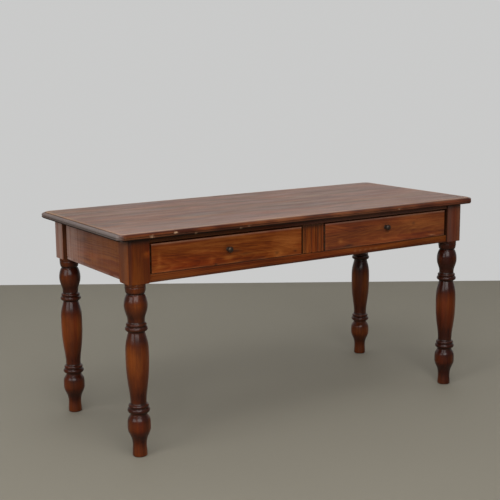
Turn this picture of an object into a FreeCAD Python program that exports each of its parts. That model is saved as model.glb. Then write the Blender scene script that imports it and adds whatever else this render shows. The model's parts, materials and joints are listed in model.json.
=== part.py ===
import FreeCAD, Part
import math
import os

# Kitchen table with two drawers, in millimetres, +Z up. The origin is on the floor under the middle
# of the top. X runs along the table and the drawers open towards -Y.

# ---- top ---------------------------------------------------------------------------------------
TABLE_HEIGHT = 770.0        # floor to the upper surface of the top
TOP_LENGTH = 1560.0
TOP_WIDTH = 676.0
TOP_THICKNESS = 23.0
TOP_EDGE_STEP = 2.2         # step down from the flat surface to the moulded edge
TOP_EDGE_MARGIN = 11.5      # width of the moulded edge
TOP_EDGE_ROUND = 8.5        # rounding of the moulding below that step
TOP_QUIRK_HEIGHT = 1.6      # narrow groove below the rounded part
TOP_QUIRK_DEPTH = 1.8
TOP_EDGE_BAND = 4.0         # upright band between that groove and the lower chamfer
TOP_UNDER_CHAMFER = 5.0     # chamfer of the lower edge
TOP_CORNER_CLIP = 22.0      # how far each corner is cut back along both edges
BOARD_COUNT = 4             # lengthwise boards that make up the top
TONGUE_THICKNESS = 7.0      # tongue-and-groove joint between the boards
TONGUE_DEPTH = 8.0
TONGUE_STOP = 70.0          # the joint stops this far from the ends of the top

# ---- frame -------------------------------------------------------------------------------------
END_OVERHANG = 45.0         # top beyond the leg blocks at the ends
SIDE_OVERHANG = 27.0        # top beyond the leg blocks at front and back
BLOCK = 76.0                # leg block, planed true after the turning was done
BLOCK_EASE = 1.2            # chamfer of the block's upright corners
BLOCK_ROUND = 12.0          # rounding of the one corner that points out of the table
POMMEL_DROP = 8.0           # height over which the block's lower corners are turned away
POMMEL_CUT = 4.0            # how much the turning takes off those corners
APRON_HEIGHT = 150.0        # from the top down to the lower end of the leg blocks
APRON_THICKNESS = 22.0
APRON_SETBACK = 16.0        # aprons behind the faces of the leg blocks
FRONT_SETBACK = 7.0         # front rails, stile and drawers behind the faces of the leg blocks
APRON_BEAD = 8.0            # bead along the lower edge of the end aprons
APRON_QUIRK = 1.6           # radius of the quirk above that bead
TENON_LENGTH = 28.0
TENON_THICKNESS = 10.0
TENON_SHOULDER = 12.0       # how much an apron's tenon is narrower at its top and bottom
BOTTOM_RAIL_HEIGHT = 28.0
TOP_RAIL_HEIGHT = 16.5
RAIL_DEPTH = 50.0           # front to back
RAIL_TENON_SHOULDER = 7.0   # all round the tenon of the bottom rail
RAIL_EASE = 1.0
DOVETAIL_LENGTH = 24.0      # lap dovetail of the top rail in the leg tops
DOVETAIL_NECK = 26.0
DOVETAIL_FLARE = 5.0        # widening on each side at the end of the dovetail
DOVETAIL_DEPTH = 11.0

# ---- centre stile ------------------------------------------------------------------------------
STILE_WIDTH = 92.0
STILE_OFFSET = 8.0          # the stile stands a little right of the middle
STILE_THICKNESS = 22.0
STILE_TENON_LENGTH = 8.0
STILE_TENON_SHOULDER = 12.0
STILE_TENON_THICKNESS = 10.0
REED_QUIRKS = (-38.0, -9.5, 20.0, 36.0)   # quirk lines from the middle of the stile
REED_QUIRK_WIDTH = 4.5
REED_QUIRK_DEPTH = 3.5
REED_CROWN = 1.2            # how much each reed swells between its quirks

# ---- runners, guides, kickers ------------------------------------------------------------------
RUNNER_THICKNESS = 22.0
RUNNER_BEARING = 20.0       # how far a runner reaches in under its drawer
BEARER_TONGUE_LENGTH = 10.0 # stub tongues at both ends of the runners and kickers
BEARER_TONGUE_THICKNESS = 8.0
BEARER_TONGUE_SHOULDER = 4.0
GUIDE_HEIGHT = 20.0
GUIDE_CLEARANCE = 0.8
GLUE_BLOCK_SIZE = 30.0
GLUE_BLOCK_LENGTH = 80.0
GLUE_BLOCKS_PER_SIDE = 2    # glue blocks on each side of the centre kicker
SCREW_RADIUS = 2.2
SCREW_HEAD_RADIUS = 4.4
SCREW_COVER = 10.0          # wood left above the point of a top screw
SCREW_EDGE_MARGIN = 15.0

# ---- drawers -----------------------------------------------------------------------------------
DRAWER_TOP_GAP = 5.5        # between a drawer front and the top rail
DRAWER_BOTTOM_GAP = 1.0
DRAWER_LEG_GAP = 9.0        # between a drawer front and the leg block
DRAWER_STILE_GAP = 7.5
DRAWER_LENGTH = 500.0
DRAWER_RUN_CLEARANCE = 0.3  # under the drawer sides
FRONT_THICKNESS = 20.0
FRONT_EASE = 2.2            # rounding of the front's face edges
FRONT_LAP = 6.0             # wood left in front of the lapped dovetails
SIDE_THICKNESS = 12.0
SIDE_TOP_DROP = 3.0         # sides lower than the front
BACK_THICKNESS = 12.0
BACK_TOP_DROP = 8.0         # back lower than the sides
TAIL_COUNT = 3
TAIL_SLOPE = 0.14           # spread of a dovetail, each side, per unit of its length
TAIL_GAP = 12.0             # pin between two tails, at its narrow face
TAIL_MARGIN = 7.0           # half pin at the top and bottom of a corner
BOTTOM_THICKNESS = 7.0
BOTTOM_RAISE = 10.0         # bottom panel above the lower edge of the drawer
BOTTOM_GROOVE = 6.0
NAIL_RADIUS = 1.1
NAIL_HEAD_RADIUS = 2.4
NAIL_HEAD_THICKNESS = 0.8
NAIL_LENGTH = 26.0
NAIL_COUNT = 4
STOP_LENGTH = 40.0
STOP_DEPTH = 25.0
STOP_HEIGHT = 8.0
STOP_GAP = 0.3
STOP_INSET = 70.0           # from a drawer's end to its stop

# ---- knobs -------------------------------------------------------------------------------------
KNOB_OFFSET_LEFT = -7.5     # from the middle of the left drawer front
KNOB_OFFSET_RIGHT = -9.0
KNOB_RISE_LEFT = 2.0        # above the middle of the left drawer front
KNOB_RISE_RIGHT = 12.0
KNOB_RADIUS = 10.5
KNOB_PROJECTION = 22.0
KNOB_HEAD_THICKNESS = 11.0
KNOB_CROWN = 6.5            # height of the domed face
KNOB_NECK_RADIUS = 4.5
KNOB_FLANGE_RADIUS = 8.0
KNOB_FLANGE_THICKNESS = 2.0
KNOB_FLANGE_BEVEL = 1.0
STEM_RADIUS = 2.5
STEM_CLEARANCE = 0.15
STEM_TAIL = 2.0             # stem beyond the nut
NUT_SIZE = 9.0
NUT_THICKNESS = 4.0
WASHER_RADIUS = 7.0
WASHER_THICKNESS = 1.2

# ---- turned legs: depths are cut into the square stock, heights are above the floor or, in the
# upper group, below the leg block ---------------------------------------------------------------
TURNING_STOCK = 79.0
SWELL_CUT = 0.0             # bulbs and vase at their fullest
FOOT_CUT = 14.3
FOOT_EASE = 2.5
FOOT_HEIGHT = 8.0
ANKLE_CUT = 15.7
ANKLE_HEIGHT = 38.0
LOW_BULB_HEIGHT = 102.0
LOW_GROOVE_HEIGHT = 146.0
LOW_GROOVE_WIDTH = 7.5
GROOVE_CUT = 11.0
BIG_RING_CUT = 1.2
BIG_RING_HEIGHT = 18.0
SMALL_RING_CUT = 4.7
SMALL_RING_HEIGHT = 11.0
RING_QUIRK_CUT = 7.5
LOW_NECK_CUT = 12.1
LOW_NECK_RISE = 11.0        # vase neck above the lower rings
BELLY_DROP = 252.0          # vase at its fullest, below the block
HIGH_GROOVE_DROP = 166.0
HIGH_GROOVE_WIDTH = 4.0
HIGH_BIG_RING_HEIGHT = 17.0
HIGH_SMALL_RING_HEIGHT = 10.5
HIGH_NECK_CUT = 10.7
HIGH_NECK_DROP = 126.0
HIGH_BULB_DROP = 72.5
COLLAR_GROOVE_DROP = 36.0
COLLAR_GROOVE_WIDTH = 2.5
COLLAR_FOOT_CUT = 7.3
COLLAR_CUT = 4.1
COLLAR_HEIGHT = 21.0
COLLAR_LINE_CUT = 5.5
COLLAR_LINE_WIDTH = 1.5

# ---- positions worked out from the sizes above -------------------------------------------------
top_under = TABLE_HEIGHT - TOP_THICKNESS
block_bottom = top_under - APRON_HEIGHT
leg_x = TOP_LENGTH / 2 - END_OVERHANG - BLOCK / 2
leg_y = TOP_WIDTH / 2 - SIDE_OVERHANG - BLOCK / 2
inner_x = leg_x - BLOCK / 2                     # inner faces of the leg blocks
inner_y = leg_y - BLOCK / 2
apron_x = leg_x + BLOCK / 2 - APRON_SETBACK     # outer faces of the aprons
apron_y = leg_y + BLOCK / 2 - APRON_SETBACK
apron_in_x = apron_x - APRON_THICKNESS
apron_in_y = apron_y - APRON_THICKNESS
front_y = -(leg_y + BLOCK / 2 - FRONT_SETBACK)  # face of the front frame and of the drawers
rail_back = front_y + RAIL_DEPTH
rail_top = block_bottom + BOTTOM_RAIL_HEIGHT
opening_top = top_under - TOP_RAIL_HEIGHT
stile_left = STILE_OFFSET - STILE_WIDTH / 2
stile_right = STILE_OFFSET + STILE_WIDTH / 2
front_low = rail_top + DRAWER_BOTTOM_GAP
front_high = opening_top - DRAWER_TOP_GAP
side_low = rail_top + DRAWER_RUN_CLEARANCE
side_high = front_high - SIDE_TOP_DROP
front_back_y = front_y + FRONT_THICKNESS        # inner face of the drawer fronts
drawer_end_y = front_y + DRAWER_LENGTH
panel_low = side_low + BOTTOM_RAISE
panel_high = panel_low + BOTTOM_THICKNESS
drawer_spans = {"left": (-inner_x + DRAWER_LEG_GAP, stile_left - DRAWER_STILE_GAP),
                "right": (stile_right + DRAWER_STILE_GAP, inner_x - DRAWER_LEG_GAP)}
side_bearer_edge = inner_x - DRAWER_LEG_GAP - RUNNER_BEARING
V = FreeCAD.Vector


def box(x0, x1, y0, y1, z0, z1):
    """Box between two corners, given in any order along each axis."""
    low = V(min(x0, x1), min(y0, y1), min(z0, z1))
    return Part.makeBox(abs(x1 - x0), abs(y1 - y0), abs(z1 - z0), low)


def fused(first, *others):
    return first.fuse(list(others)).removeSplitter()


def cut_by(solid, tools):
    tools = list(tools)
    return solid.cut(tools) if tools else solid


def prism(points, direction):
    """Solid swept from a closed polygon along a straight line."""
    outline = Part.makePolygon([V(*p) for p in points] + [V(*points[0])])
    return Part.Face(outline).extrude(V(*direction))


def rod(radius, start, direction, length):
    return Part.makeCylinder(radius, length, V(*start), V(*direction))


def edges_where(solid, test):
    return [edge for edge in solid.Edges if test(edge)]


def runs_along(edge, axis):
    """True for a straight edge parallel to a coordinate axis."""
    if edge.Curve.TypeId != "Part::GeomLine":
        return False
    step = edge.Vertexes[-1].Point.sub(edge.Vertexes[0].Point)
    return abs(abs(getattr(step, axis)) - edge.Length) < 1e-6


def lies_at(edge, **wanted):
    """True when both ends of an edge have the wanted coordinates."""
    return all(abs(getattr(v.Point, axis) - value) < 1e-6
               for v in edge.Vertexes for axis, value in wanted.items())


# ---- turned legs -------------------------------------------------------------------------------
class TurnedOutline:
    """Half outline of a turning, drawn from the floor up as (radius, height)."""

    def __init__(self, radius, height):
        self.radius, self.height = radius, height
        self.edges = []

    def _add(self, edge, radius, height):
        self.edges.append(edge)
        self.radius, self.height = radius, height

    def line(self, radius, height):
        start, end = V(self.radius, 0, self.height), V(radius, 0, height)
        self._add(Part.makeLine(start, end), radius, height)

    def curve(self, radius, height, first_pole, second_pole):
        curve = Part.BezierCurve()
        poles = [(self.radius, self.height), first_pole, second_pole, (radius, height)]
        curve.setPoles([V(r, 0, z) for r, z in poles])
        self._add(curve.toShape(), radius, height)

    def ogee(self, radius, height, leave=0.45, arrive=0.45):
        """S-curve that is upright at both ends."""
        rise = height - self.height
        self.curve(radius, height, (self.radius, self.height + leave * rise),
                   (radius, height - arrive * rise))

    def shoulder(self, radius, height, hold, turn, drop):
        """Upright at its start, then rounds over inwards to the given radius."""
        rise = height - self.height
        inward = self.radius - radius
        self.curve(radius, height, (self.radius, self.height + hold * rise),
                   (radius + turn * inward, height - drop * rise))

    def bead(self, bulge, height):
        """Half-round ring that ends at the radius it started from."""
        ends = (V(self.radius, 0, self.height), V(self.radius, 0, height))
        middle = V(bulge, 0, (self.height + height) / 2)
        self._add(Part.Arc(ends[0], middle, ends[1]).toShape(), self.radius, height)

    def dome(self, height):
        """Rounded end that is upright at its rim and closes square to the axis."""
        rise = height - self.height
        self.curve(0.0, height, (self.radius, self.height + 0.55 * rise), (0.6 * self.radius, height))

    def solid(self):
        """Solid turned about the Z axis; the outline is closed along the axis."""
        first = self.edges[0].Vertexes[0].Point
        self.line(first.x, first.z)
        return Part.Face(Part.Wire(self.edges)).revolve(V(0, 0, 0), V(0, 0, 1), 360)


def turning():
    """The turned part of a leg, from the floor to the underside of its block."""
    stock = TURNING_STOCK / 2
    swell = stock - SWELL_CUT
    groove = stock - GROOVE_CUT
    foot = stock - FOOT_CUT
    quirk = stock - RING_QUIRK_CUT
    out = TurnedOutline(0.0, 0.0)
    out.line(foot - FOOT_EASE, 0.0)
    out.line(foot, FOOT_EASE)
    out.line(foot, FOOT_HEIGHT)
    out.ogee(stock - ANKLE_CUT, ANKLE_HEIGHT)
    out.ogee(swell, LOW_BULB_HEIGHT, leave=0.55, arrive=0.38)
    out.shoulder(groove, LOW_GROOVE_HEIGHT, hold=0.69, turn=0.95, drop=0.34)
    out.line(groove, LOW_GROOVE_HEIGHT + LOW_GROOVE_WIDTH)
    ring_low = out.height
    out.line(quirk, ring_low)
    out.bead(stock - BIG_RING_CUT, ring_low + BIG_RING_HEIGHT)
    out.bead(stock - SMALL_RING_CUT, out.height + SMALL_RING_HEIGHT)
    neck = stock - LOW_NECK_CUT
    out.line(neck, out.height)
    out.line(neck, out.height + LOW_NECK_RISE)
    out.ogee(swell, block_bottom - BELLY_DROP, leave=0.24, arrive=0.58)
    high_groove = block_bottom - HIGH_GROOVE_DROP
    out.shoulder(groove, high_groove, hold=0.51, turn=0.95, drop=0.46)
    out.line(groove, high_groove + HIGH_GROOVE_WIDTH)
    out.line(quirk, out.height)
    out.bead(stock - BIG_RING_CUT, out.height + HIGH_BIG_RING_HEIGHT)
    out.bead(stock - SMALL_RING_CUT, out.height + HIGH_SMALL_RING_HEIGHT)
    high_neck = stock - HIGH_NECK_CUT
    out.line(high_neck, out.height)
    out.line(high_neck, block_bottom - HIGH_NECK_DROP)
    out.ogee(swell, block_bottom - HIGH_BULB_DROP, leave=0.36, arrive=0.52)
    collar_groove = block_bottom - COLLAR_GROOVE_DROP
    out.shoulder(groove, collar_groove, hold=0.4, turn=0.46, drop=0.08)
    out.line(groove, collar_groove + COLLAR_GROOVE_WIDTH)
    out.line(stock - COLLAR_FOOT_CUT, out.height)
    collar = stock - COLLAR_CUT
    out.ogee(collar, out.height + COLLAR_HEIGHT, leave=0.2, arrive=0.6)
    line_radius = stock - COLLAR_LINE_CUT
    out.line(line_radius, out.height)
    out.line(line_radius, out.height + COLLAR_LINE_WIDTH)
    out.line(collar, out.height)
    out.line(collar, block_bottom)
    out.line(0.0, block_bottom)
    return out.solid()


def leg_blank():
    """A whole leg about the Z axis, without its mortises, turned as it stands at the right of the back."""
    half = BLOCK / 2
    block = box(-half, half, -half, half, block_bottom, top_under)
    squared = edges_where(block, lambda e: runs_along(e, "z") and not lies_at(e, x=half, y=half))
    block = block.makeChamfer(BLOCK_EASE, squared)
    block = block.makeFillet(BLOCK_ROUND, edges_where(block, lambda e: lies_at(e, x=half, y=half)))
    corner = half * math.sqrt(2)
    pommel = fused(Part.makeCone(corner - POMMEL_CUT, corner, POMMEL_DROP, V(0, 0, block_bottom)),
                   rod(corner, (0, 0, block_bottom + POMMEL_DROP), (0, 0, 1), APRON_HEIGHT - POMMEL_DROP))
    return fused(turning(), block.common(pommel))


# ---- aprons and rails --------------------------------------------------------------------------
def end_apron(side):
    """Apron between the legs of one end; side is -1 for the left end and 1 for the right."""
    outer, inner = side * apron_x, side * apron_in_x
    board = box(outer, inner, -inner_y, inner_y, block_bottom, top_under)
    quirk_z = block_bottom + APRON_BEAD + APRON_QUIRK
    groove = rod(APRON_QUIRK, (outer, -inner_y, quirk_z), (0, 1, 0), 2 * inner_y)
    board = board.cut(groove)
    lower_edge = edges_where(board, lambda e: runs_along(e, "y") and lies_at(e, x=outer, z=block_bottom))
    board = board.makeFillet(APRON_BEAD / 2, lower_edge)
    middle = side * (apron_x - APRON_THICKNESS / 2)
    reach = inner_y + TENON_LENGTH
    tenon = box(middle - TENON_THICKNESS / 2, middle + TENON_THICKNESS / 2, -reach, reach,
                block_bottom + TENON_SHOULDER, top_under - TENON_SHOULDER)
    return fused(board, tenon)


def back_apron():
    board = box(-inner_x, inner_x, apron_in_y, apron_y, block_bottom, top_under)
    middle = apron_y - APRON_THICKNESS / 2
    reach = inner_x + TENON_LENGTH
    tenon = box(-reach, reach, middle - TENON_THICKNESS / 2, middle + TENON_THICKNESS / 2,
                block_bottom + TENON_SHOULDER, top_under - TENON_SHOULDER)
    return fused(board, tenon)


def bottom_rail():
    rail = box(-inner_x, inner_x, front_y, rail_back, block_bottom, rail_top)
    face_edges = edges_where(rail, lambda e: runs_along(e, "x") and lies_at(e, y=front_y))
    rail = rail.makeChamfer(RAIL_EASE, face_edges)
    reach = inner_x + TENON_LENGTH
    shoulder = RAIL_TENON_SHOULDER
    tenon = box(-reach, reach, front_y + shoulder, rail_back - shoulder,
                block_bottom + shoulder, rail_top - shoulder)
    return fused(rail, tenon)


def top_rail():
    rail = box(-inner_x, inner_x, front_y, rail_back, opening_top, top_under)
    middle = (front_y + rail_back) / 2
    neck, end = DOVETAIL_NECK / 2, DOVETAIL_NECK / 2 + DOVETAIL_FLARE
    for side in (-1, 1):
        root, tip = side * inner_x, side * (inner_x + DOVETAIL_LENGTH)
        corners = [(root, middle - neck), (tip, middle - end), (tip, middle + end), (root, middle + neck)]
        tail = prism([(x, y, top_under) for x, y in corners], (0, 0, -DOVETAIL_DEPTH))
        rail = fused(rail, tail)
    return rail


def centre_stile():
    """Reeded upright between the drawers, stub-tenoned into both front rails."""
    face, crown = front_y, front_y + REED_CROWN
    half = REED_QUIRK_WIDTH / 2
    outline = []
    x = stile_left
    for line in REED_QUIRKS:
        quirk = STILE_OFFSET + line
        reed_end = quirk - half
        outline.append(Part.Arc(V(x, crown, 0), V((x + reed_end) / 2, face, 0), V(reed_end, crown, 0)))
        x = quirk + half
        outline.append(Part.Arc(V(reed_end, crown, 0), V(quirk, face + REED_QUIRK_DEPTH, 0), V(x, crown, 0)))
    outline.append(Part.Arc(V(x, crown, 0), V((x + stile_right) / 2, face, 0), V(stile_right, crown, 0)))
    back = face + STILE_THICKNESS
    corners = [(stile_right, crown), (stile_right, back), (stile_left, back), (stile_left, crown)]
    edges = [arc.toShape() for arc in outline]
    edges += [Part.makeLine(V(*a, 0), V(*b, 0)) for a, b in zip(corners, corners[1:])]
    body = Part.Face(Part.Wire(edges)).extrude(V(0, 0, opening_top - rail_top))
    body.translate(V(0, 0, rail_top))
    middle = face + STILE_THICKNESS / 2
    tenon = box(stile_left + STILE_TENON_SHOULDER, stile_right - STILE_TENON_SHOULDER,
                middle - STILE_TENON_THICKNESS / 2, middle + STILE_TENON_THICKNESS / 2,
                rail_top - STILE_TENON_LENGTH, opening_top + STILE_TENON_LENGTH)
    return fused(body, tenon)


# ---- what carries and guides the drawers -------------------------------------------------------
def with_tongues(board, x0, x1, z0, z1):
    """Board from the front rails to the back apron, with a stub tongue at each end."""
    middle = (z0 + z1) / 2
    half = min(BEARER_TONGUE_THICKNESS, (z1 - z0) / 2) / 2
    low, high = min(x0, x1) + BEARER_TONGUE_SHOULDER, max(x0, x1) - BEARER_TONGUE_SHOULDER
    tongue = box(low, high, rail_back - BEARER_TONGUE_LENGTH, apron_in_y + BEARER_TONGUE_LENGTH,
                 middle - half, middle + half)
    return fused(board, tongue)


def side_bearer(side, z0, z1):
    """Runner or kicker along an end apron, notched round the leg blocks."""
    edge = side * side_bearer_edge
    strip = box(side * inner_x, edge, rail_back, apron_in_y, z0, z1)
    flank = box(side * apron_in_x, side * inner_x, -inner_y, inner_y, z0, z1)
    return with_tongues(fused(strip, flank), side * inner_x, edge, z0, z1)


def centre_bearer(z0, z1):
    x0 = drawer_spans["left"][1] - RUNNER_BEARING
    x1 = drawer_spans["right"][0] + RUNNER_BEARING
    return with_tongues(box(x0, x1, rail_back, apron_in_y, z0, z1), x0, x1, z0, z1)


def side_guide(side):
    """Strip on a side runner that fills the space between the apron and the drawer."""
    edge = side * (inner_x - DRAWER_LEG_GAP + GUIDE_CLEARANCE)
    return box(side * apron_in_x, edge, -inner_y, inner_y, rail_top, rail_top + GUIDE_HEIGHT)


def centre_guide():
    x0 = drawer_spans["left"][1] + GUIDE_CLEARANCE
    x1 = drawer_spans["right"][0] - GUIDE_CLEARANCE
    return box(x0, x1, front_y + STILE_THICKNESS, apron_in_y, rail_top, rail_top + GUIDE_HEIGHT)


def glue_blocks():
    """Blocks in the angle between the back apron and the top."""
    blocks = []
    first, last = drawer_spans["right"][0] + RUNNER_BEARING, side_bearer_edge
    for side in (-1, 1):
        for i in range(GLUE_BLOCKS_PER_SIDE):
            x = side * (first + (last - first) * (i + 0.5) / GLUE_BLOCKS_PER_SIDE)
            blocks.append(box(x - GLUE_BLOCK_LENGTH / 2, x + GLUE_BLOCK_LENGTH / 2,
                              apron_in_y - GLUE_BLOCK_SIZE, apron_in_y,
                              top_under - GLUE_BLOCK_SIZE, top_under))
    return blocks


def drawer_stops():
    """Small blocks on the bottom rail that the drawer fronts close against."""
    stops = []
    for x0, x1 in drawer_spans.values():
        for x in (x0 + STOP_INSET, x1 - STOP_INSET - STOP_LENGTH):
            y = front_back_y + STOP_GAP
            stops.append(box(x, x + STOP_LENGTH, y, y + STOP_DEPTH, rail_top, rail_top + STOP_HEIGHT))
    return stops


# ---- top ---------------------------------------------------------------------------------------
def board_lines():
    """Where the boards of the top meet, front to back, with both outer edges."""
    width = TOP_WIDTH / BOARD_COUNT
    return [-TOP_WIDTH / 2 + i * width for i in range(BOARD_COUNT + 1)]


def clipped_slab(inset, low, high):
    """Slab with the plan of the top, its corners clipped at 45 degrees, drawn in by an inset."""
    x, y = TOP_LENGTH / 2 - inset, TOP_WIDTH / 2 - inset
    clip = TOP_CORNER_CLIP - inset * (2 - math.sqrt(2))
    corners = [(-x + clip, -y), (x - clip, -y), (x, -y + clip), (x, y - clip),
               (x - clip, y), (-x + clip, y), (-x, y - clip), (-x, -y + clip)]
    return prism([(px, py, low) for px, py in corners], (0, 0, high - low))


def whole_top():
    """The moulded top in one piece, before it is divided into boards."""
    step_z = TABLE_HEIGHT - TOP_EDGE_STEP
    quirk_low = top_under + TOP_UNDER_CHAMFER + TOP_EDGE_BAND
    quirk_high = quirk_low + TOP_QUIRK_HEIGHT
    slab = clipped_slab(0.0, top_under, step_z)
    radius = min(TOP_EDGE_ROUND, step_z - quirk_high)
    slab = slab.makeFillet(radius, edges_where(slab, lambda e: lies_at(e, z=step_z)))
    slab = slab.makeChamfer(TOP_UNDER_CHAMFER, edges_where(slab, lambda e: lies_at(e, z=top_under)))
    core = clipped_slab(TOP_QUIRK_DEPTH, quirk_low, quirk_high)
    slab = slab.cut(clipped_slab(0.0, quirk_low, quirk_high).cut(core))
    return fused(slab, clipped_slab(TOP_EDGE_MARGIN, step_z, TABLE_HEIGHT))


def top_boards():
    lines = board_lines()
    slab = whole_top()
    reach = TOP_LENGTH / 2 - TONGUE_STOP
    middle = top_under + TOP_THICKNESS / 2
    tongues = [box(-reach, reach, y - TONGUE_DEPTH, y, middle - TONGUE_THICKNESS / 2,
                   middle + TONGUE_THICKNESS / 2) for y in lines[1:-1]]
    boards = []
    for i in range(BOARD_COUNT):
        strip = slab.common(box(-TOP_LENGTH, TOP_LENGTH, lines[i], lines[i + 1], top_under, TABLE_HEIGHT))
        if i > 0:
            strip = fused(strip, tongues[i - 1])
        if i < BOARD_COUNT - 1:
            strip = strip.cut(tongues[i])
        boards.append(strip)
    return boards


def top_screws():
    """Countersunk screws up through the kickers, one for each board on each kicker."""
    lines = board_lines()
    screws = []
    beside = (inner_x + side_bearer_edge) / 2
    centre = (drawer_spans["left"][1] + drawer_spans["right"][0]) / 2
    low, high = rail_back + SCREW_EDGE_MARGIN, apron_in_y - SCREW_EDGE_MARGIN
    for x in (-beside, centre, beside):
        for y0, y1 in zip(lines, lines[1:]):
            y = (max(y0, low) + min(y1, high)) / 2
            length = TABLE_HEIGHT - SCREW_COVER - opening_top
            shank = rod(SCREW_RADIUS, (x, y, opening_top), (0, 0, 1), length)
            head = Part.makeCone(SCREW_HEAD_RADIUS, SCREW_RADIUS, SCREW_HEAD_RADIUS - SCREW_RADIUS,
                                 V(x, y, opening_top))
            screws.append(fused(shank, head))
    return screws


# ---- drawers -----------------------------------------------------------------------------------
def tails(x0, x1, root_y, tip_y):
    """Dovetails of a drawer side at one corner, spreading from root_y to tip_y."""
    spread = abs(tip_y - root_y) * TAIL_SLOPE
    room = side_high - side_low - 2 * TAIL_MARGIN - (TAIL_COUNT - 1) * TAIL_GAP
    width = room / TAIL_COUNT
    result = []
    for i in range(TAIL_COUNT):
        low = side_low + TAIL_MARGIN + i * (width + TAIL_GAP)
        corners = [(root_y, low + spread), (tip_y, low), (tip_y, low + width), (root_y, low + width - spread)]
        result.append(prism([(x0, y, z) for y, z in corners], (x1 - x0, 0, 0)))
    return result


def bottom_nails(x0, x1):
    y = drawer_end_y - BACK_THICKNESS / 2
    nails = []
    for i in range(NAIL_COUNT):
        x = x0 + (x1 - x0) * (i + 0.5) / NAIL_COUNT
        head = rod(NAIL_HEAD_RADIUS, (x, y, panel_low - NAIL_HEAD_THICKNESS), (0, 0, 1), NAIL_HEAD_THICKNESS)
        nails.append(fused(head, rod(NAIL_RADIUS, (x, y, panel_low), (0, 0, 1), NAIL_LENGTH)))
    return nails


def knob(x, z):
    """Iron knob with its threaded stem, turned about an axis square to the drawer front."""
    neck_end = KNOB_PROJECTION - KNOB_HEAD_THICKNESS
    rim = KNOB_PROJECTION - KNOB_CROWN
    out = TurnedOutline(0.0, -(FRONT_THICKNESS + WASHER_THICKNESS + NUT_THICKNESS + STEM_TAIL))
    out.line(STEM_RADIUS, out.height)
    out.line(STEM_RADIUS, 0.0)
    out.line(KNOB_FLANGE_RADIUS, 0.0)
    out.line(KNOB_FLANGE_RADIUS - KNOB_FLANGE_BEVEL, KNOB_FLANGE_THICKNESS)
    out.line(KNOB_NECK_RADIUS, KNOB_FLANGE_THICKNESS + KNOB_FLANGE_BEVEL)
    out.line(KNOB_NECK_RADIUS, neck_end)
    out.curve(KNOB_RADIUS, rim, (KNOB_RADIUS, neck_end), (KNOB_RADIUS, rim - KNOB_FLANGE_BEVEL))
    out.dome(KNOB_PROJECTION)
    return placed_on_front(out.solid(), x, z)


def placed_on_front(solid, x, z):
    """Turn a solid's Z axis to face out of a drawer front, with its origin on the front's face."""
    solid.rotate(V(0, 0, 0), V(1, 0, 0), 90)
    solid.translate(V(x, front_y, z))
    return solid


def knob_fixings(x, z):
    """Washer and square nut on the knob's stem, behind the drawer front."""
    low = -FRONT_THICKNESS - WASHER_THICKNESS
    hole = rod(STEM_RADIUS + STEM_CLEARANCE, (0, 0, low), (0, 0, 1), WASHER_THICKNESS)
    washer = rod(WASHER_RADIUS, (0, 0, low), (0, 0, 1), WASHER_THICKNESS).cut(hole)
    half = NUT_SIZE / 2
    nut = box(-half, half, -half, half, low - NUT_THICKNESS, low)
    nut = nut.cut(rod(STEM_RADIUS, (0, 0, low - NUT_THICKNESS), (0, 0, 1), NUT_THICKNESS))
    return [placed_on_front(piece, x, z) for piece in (washer, nut)]


def drawer(name, knob_offset, knob_rise):
    """All pieces of one drawer, by node name."""
    x0, x1 = drawer_spans[name]
    back_front = drawer_end_y - BACK_THICKNESS
    panel = box(x0 + SIDE_THICKNESS - BOTTOM_GROOVE, x1 - SIDE_THICKNESS + BOTTOM_GROOVE,
                front_back_y - BOTTOM_GROOVE, drawer_end_y, panel_low, panel_high)
    sides = []
    for near, far in ((x0, x0 + SIDE_THICKNESS), (x1 - SIDE_THICKNESS, x1)):
        plank = box(near, far, front_back_y, back_front, side_low, side_high)
        front_tails = tails(near, far, front_back_y, front_y + FRONT_LAP)
        back_tails = tails(near, far, back_front, drawer_end_y)
        sides.append(fused(plank, *front_tails, *back_tails).cut(panel))
    face = box(x0, x1, front_y, front_back_y, front_low, front_high)
    rim = edges_where(face, lambda e: lies_at(e, y=front_y))
    face = face.makeFillet(FRONT_EASE, rim)
    knob_x, knob_z = (x0 + x1) / 2 + knob_offset, (front_low + front_high) / 2 + knob_rise
    hole = rod(STEM_RADIUS + STEM_CLEARANCE, (knob_x, front_y, knob_z), (0, 1, 0), FRONT_THICKNESS)
    face = face.cut(sides + [panel, hole])
    nails = bottom_nails(x0, x1)
    back = box(x0, x1, back_front, drawer_end_y, panel_high, side_high - BACK_TOP_DROP)
    back = back.cut(sides + nails)
    washer, nut = knob_fixings(knob_x, knob_z)
    pieces = {"front": face, "left_side": sides[0], "right_side": sides[1], "back": back,
              "bottom": panel.cut(nails), "bottom_nails": nails, "knob": knob(knob_x, knob_z),
              "knob_washer": washer, "knob_nut": nut}
    return {f"{name}_drawer_{piece}": solid for piece, solid in pieces.items()}


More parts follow.
